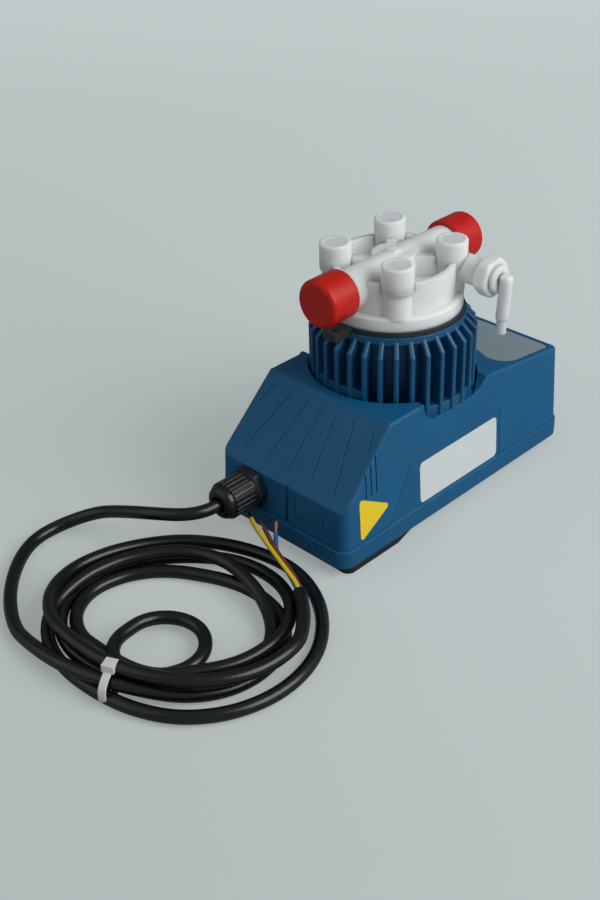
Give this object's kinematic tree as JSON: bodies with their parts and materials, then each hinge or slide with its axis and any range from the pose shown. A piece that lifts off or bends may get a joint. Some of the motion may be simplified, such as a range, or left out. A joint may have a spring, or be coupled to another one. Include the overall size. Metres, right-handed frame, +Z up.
{
  "type": "diaphragm metering pump",
  "caption": "Solenoid-driven diaphragm metering pump with finned drum, white liquid end, red port caps, priming valve, wall bracket and coiled mains lead.",
  "frame": {"origin": "bottom centre of the pump's bounding box without its mains lead, on the face that goes against the wall or the bench", "axes": "+X along the housing from the mains inlet to the control panel, +Y across it away from the priming valve, +Z up through the drum and the liquid end"},
  "size_m": [0.3764, 0.2069, 0.1645],
  "materials": {
    "blue_plastic": "fine-textured moulded polypropylene",
    "blue_cover": "fine-textured moulded polypropylene",
    "drum_paint": "powder-coated die-cast aluminium",
    "black_plastic": "glass-filled nylon",
    "black_ring": "moulded black plastic",
    "gland_black": "black nylon gland",
    "black_rubber": "moulded seal rubber",
    "lead_rubber": "rubber lead jacket",
    "zinc_steel": "zinc-plated steel",
    "bright_steel": "turned soft iron",
    "spring_steel": "drawn spring wire",
    "brass": "turned brass",
    "copper_wire": "enamelled winding wire",
    "tinned_copper": "fine bare strands",
    "dark_nylon": "dark moulded nylon",
    "white_ptfe": "pressed fluoropolymer",
    "white_pvdf": "translucent white fluoropolymer",
    "cap_white": "natural white polypropylene",
    "valve_white": "natural white polypropylene",
    "ceramic": "polished ceramic",
    "red_plastic": "soft red polyethylene",
    "panel_grey": "bare grey printed film",
    "label_film": "bare silver-grey film",
    "yellow_film": "bare yellow film",
    "green_laminate": "solder-masked laminate",
    "wire_green_yellow": "green and yellow wire cover",
    "wire_brown": "brown wire cover",
    "wire_blue": "blue wire cover",
    "tie_nylon": "natural nylon tie"
  },
  "bodies": {
    "base": {"main_housing": "blue_plastic", "rear_cover": "blue_cover", "cover_gasket": "black_rubber", "cover_screws": "zinc_steel", "wall_bracket": "black_plastic", "bracket_screws": "zinc_steel", "solenoid_housing": "drum_paint", "drum_screws": "zinc_steel", "solenoid_back_plate": "bright_steel", "rear_bumper": "black_rubber", "magnet_rear_plate": "bright_steel", "magnet_yoke": "bright_steel", "pole_piece": "bright_steel", "coil_bobbin": "dark_nylon", "coil_winding": "copper_wire", "guide_bush": "brass", "return_spring": "spring_steel", "spacer_ring": "black_ring", "diaphragm": "white_ptfe", "pump_head": "white_pvdf", "head_screws": "zinc_steel", "head_screw_caps": "cap_white", "suction_valve_seat": "white_pvdf", "discharge_valve_seat": "white_pvdf", "panel_overlay": "panel_grey", "side_label": "label_film", "triangle_sticker": "yellow_film", "control_board": "green_laminate", "board_components": "dark_nylon", "power_board": "green_laminate", "power_components": "dark_nylon", "terminal_block": "black_plastic", "coil_leads": "lead_rubber", "gland_body": "gland_black", "gland_seal": "black_rubber", "gland_dome_nut": "gland_black", "gland_locknut": "gland_black", "power_cord": "lead_rubber", "cord_coil": "lead_rubber", "cord_tail": "lead_rubber", "wire_earth": "wire_green_yellow", "wire_line": "wire_brown", "wire_neutral": "wire_blue", "wire_strands": "tinned_copper", "cable_tie": "tie_nylon"},
    "armature_body": {"armature": "bright_steel", "drive_shaft": "bright_steel", "diaphragm_core": "dark_nylon"},
    "suction_ball_body": {"suction_ball": "ceramic"},
    "discharge_ball_body": {"discharge_ball": "ceramic"},
    "suction_cap_body": {"suction_cap": "red_plastic"},
    "discharge_cap_body": {"discharge_cap": "red_plastic"},
    "spindle_body": {"priming_spindle": "white_pvdf", "priming_o_rings": "black_rubber"},
    "knob_body": {"priming_knob": "valve_white"},
    "nozzle_body": {"priming_nozzle": "valve_white"}
  },
  "joints": [
    {"name": "armature_slide", "type": "slide", "parent": "base", "child": "armature_body", "axis": [0, 0, 1], "range_m": [0, 0.00125], "stiffness_N_per_m": 5000, "springref_m": -0.003, "deforming": ["diaphragm", "return_spring"]},
    {"name": "suction_ball_lift", "type": "slide", "parent": "base", "child": "suction_ball_body", "axis": [1, 0, 0], "range_m": [0, 0.002]},
    {"name": "discharge_ball_lift", "type": "slide", "parent": "base", "child": "discharge_ball_body", "axis": [1, 0, 0], "range_m": [0, 0.002]},
    {"name": "suction_cap_pull", "type": "slide", "parent": "base", "child": "suction_cap_body", "axis": [-1, 0, 0], "range_m": [0, 0.025]},
    {"name": "discharge_cap_pull", "type": "slide", "parent": "base", "child": "discharge_cap_body", "axis": [1, 0, 0], "range_m": [0, 0.025]},
    {"name": "priming_spindle_slide", "type": "slide", "parent": "base", "child": "spindle_body", "axis": [0, -1, 0], "range_m": [0, 0.00075]},
    {"name": "priming_knob_turn", "type": "hinge", "parent": "spindle_body", "child": "knob_body", "pos_m": [0.03735, -0.0439, 0.1465], "axis": [0, -1, 0], "range_deg": [0, 180]},
    {"name": "nozzle_swivel", "type": "hinge", "parent": "spindle_body", "child": "nozzle_body", "pos_m": [0.03735, -0.0552, 0.1465], "axis": [0, -1, 0], "range_deg": [-90, 90]}
  ],
  "couplings": [
    {"joint": "priming_knob_turn", "follows": "priming_spindle_slide", "rad_per_m": 4188.8}
  ]
}
